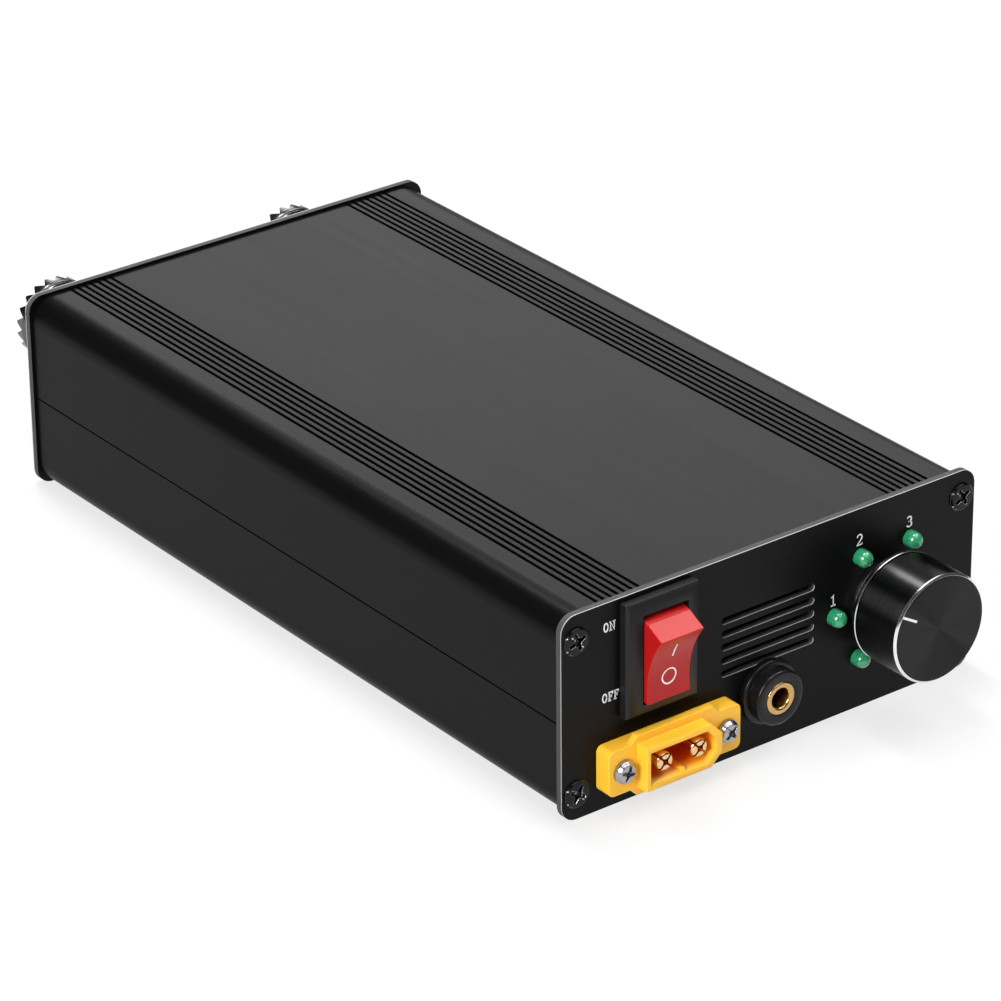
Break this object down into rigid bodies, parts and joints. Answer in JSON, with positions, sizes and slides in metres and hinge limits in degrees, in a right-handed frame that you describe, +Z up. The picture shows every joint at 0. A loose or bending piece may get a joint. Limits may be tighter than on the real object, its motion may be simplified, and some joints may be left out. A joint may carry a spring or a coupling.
{
  "type": "hf linear amplifier",
  "caption": "Small bench radio-frequency amplifier: grooved split aluminium case, band selector knob with lamps, rocker switch, power inlet, control jack and coaxial sockets.",
  "frame": {"origin": "middle of the bounding box at its base, level with the lower edges of the two end panels", "axes": "+Z up, control panel faces -Y, coaxial sockets face +Y, +X to the right seen from the control panel"},
  "size_m": [0.088, 0.19, 0.0375],
  "materials": {
    "case_aluminium": "black anodised, satin",
    "panel_laminate": "black lacquered laminate, satin",
    "black_screws": "black oxide",
    "black_plastic": "moulded, satin",
    "red_plastic": "moulded, gloss",
    "yellow_plastic": "moulded nylon",
    "gold": "gold plated",
    "brass": "bright",
    "nickel": "nickel plated",
    "spun_aluminium": "black anodised, spun face, bright bevels",
    "green_lamp": "clear green epoxy",
    "board": "glass-epoxy laminate",
    "bare_aluminium": "milled",
    "ferrite": "sintered",
    "iron_powder": "lacquered",
    "copper": "enamelled copper",
    "component_plastic": "moulded",
    "component_film": "dipped",
    "sleeve": "shrink sleeve",
    "pad": "silicone",
    "white_insulator": "fluoropolymer",
    "red_wire": "insulated wire",
    "black_wire": "insulated wire"
  },
  "bodies": {
    "case": {"upper_shell": "case_aluminium", "lower_shell": "case_aluminium", "front_panel": "panel_laminate", "rear_panel": "panel_laminate", "front_panel_screws": "black_screws", "rear_panel_screws": "black_screws", "switch_housing": "black_plastic", "switch_terminals": "brass", "inlet_housing": "yellow_plastic", "inlet_pins": "gold", "inlet_screws": "nickel", "inlet_nuts": "nickel", "jack_body": "black_plastic", "jack_ring_nut": "black_plastic", "jack_bush": "brass", "jack_contacts": "nickel", "selector_body": "black_plastic", "selector_washer": "nickel", "selector_nut": "nickel", "selector_contacts": "brass", "band_lamps": "green_lamp", "receive_lamp": "green_lamp", "indicator_board": "board", "amplifier_board": "board", "filter_board": "board", "heat_spreader": "bare_aluminium", "transistor_pads": "pad", "output_transistors": "black_plastic", "transistor_screws": "nickel", "input_transformer": "ferrite", "output_transformer": "ferrite", "transformer_windings": "copper", "filter_coil_cores": "iron_powder", "filter_coil_windings": "copper", "band_relays": "component_plastic", "filter_capacitors": "component_film", "electrolytic_capacitors": "sleeve", "power_choke": "copper", "input_socket": "nickel", "output_socket": "nickel", "socket_insulators": "white_insulator", "socket_contacts": "gold", "socket_nuts": "nickel", "power_lead_positive": "red_wire", "power_lead_negative": "black_wire", "signal_leads": "black_wire"},
    "rocker": {"rocker": "red_plastic"},
    "selector_knob": {"band_knob": "spun_aluminium", "knob_set_screw": "black_screws", "selector_shaft": "nickel"}
  },
  "joints": [
    {"name": "power_rocker", "type": "hinge", "parent": "case", "child": "rocker", "pos_m": [-0.0246, -0.0807, 0.0262], "axis": [-1, 0, 0], "range_deg": [0, 30]},
    {"name": "band_selector", "type": "hinge", "parent": "case", "child": "selector_knob", "pos_m": [0.0243, -0.081, 0.01906], "axis": [0, 1, 0], "range_deg": [-30, 90]}
  ]
}
